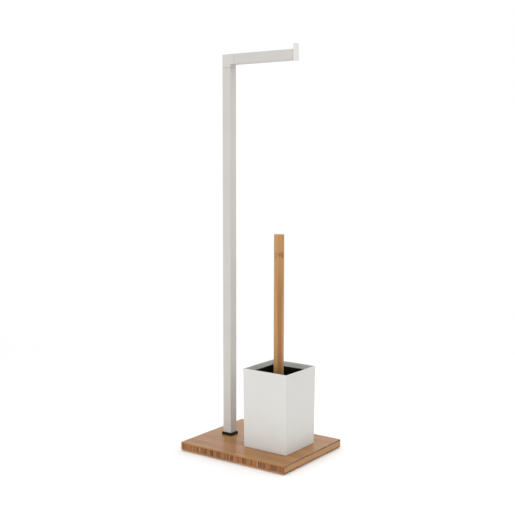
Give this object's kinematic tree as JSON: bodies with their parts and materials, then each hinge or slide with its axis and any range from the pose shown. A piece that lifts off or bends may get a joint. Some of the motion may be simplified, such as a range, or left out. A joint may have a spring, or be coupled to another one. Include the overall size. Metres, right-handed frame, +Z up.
{
  "type": "toilet brush holder",
  "caption": "Free-standing toilet brush holder: square white cup with a bamboo-handled brush on a bamboo board, beside a post with a side arm for a paper roll.",
  "frame": {"origin": "on the floor under the middle of the board", "axes": "+Z up, +X along the arm, towards its free end, +Y to the back"},
  "size_m": [0.251, 0.204, 0.8013],
  "materials": {
    "bamboo": "satin lacquered bamboo",
    "white_coat": "satin white powder coat",
    "white_plastic": "satin white moulded plastic",
    "black_plastic": "satin black moulded plastic",
    "rubber": "matt black rubber",
    "zinc_steel": "zinc-plated steel",
    "white_nylon": "white nylon bristle"
  },
  "bodies": {
    "stand": {"base_board": "bamboo", "foot_front_left": "rubber", "foot_front_right": "rubber", "foot_back_left": "rubber", "foot_back_right": "rubber", "post_foot_plug": "black_plastic", "post_bolt": "zinc_steel", "post_washer": "zinc_steel", "post_nut": "zinc_steel", "post_tube": "white_coat", "corner_elbow": "white_plastic", "arm_tube": "white_coat", "arm_end_stop": "white_plastic", "cup": "white_plastic", "cup_screw_left": "zinc_steel", "cup_screw_right": "zinc_steel"},
    "liner": {"liner": "black_plastic"},
    "brush": {"brush_handle": "bamboo", "brush_head": "black_plastic", "handle_stud": "zinc_steel", "bristles": "white_nylon"}
  },
  "joints": [
    {"name": "liner_lift", "type": "slide", "parent": "stand", "child": "liner", "axis": [0, 0, 1], "range_m": [0, 0.155]},
    {"name": "brush_lift", "type": "slide", "parent": "liner", "child": "brush", "axis": [0, 0, 1], "range_m": [0, 0.15]}
  ]
}
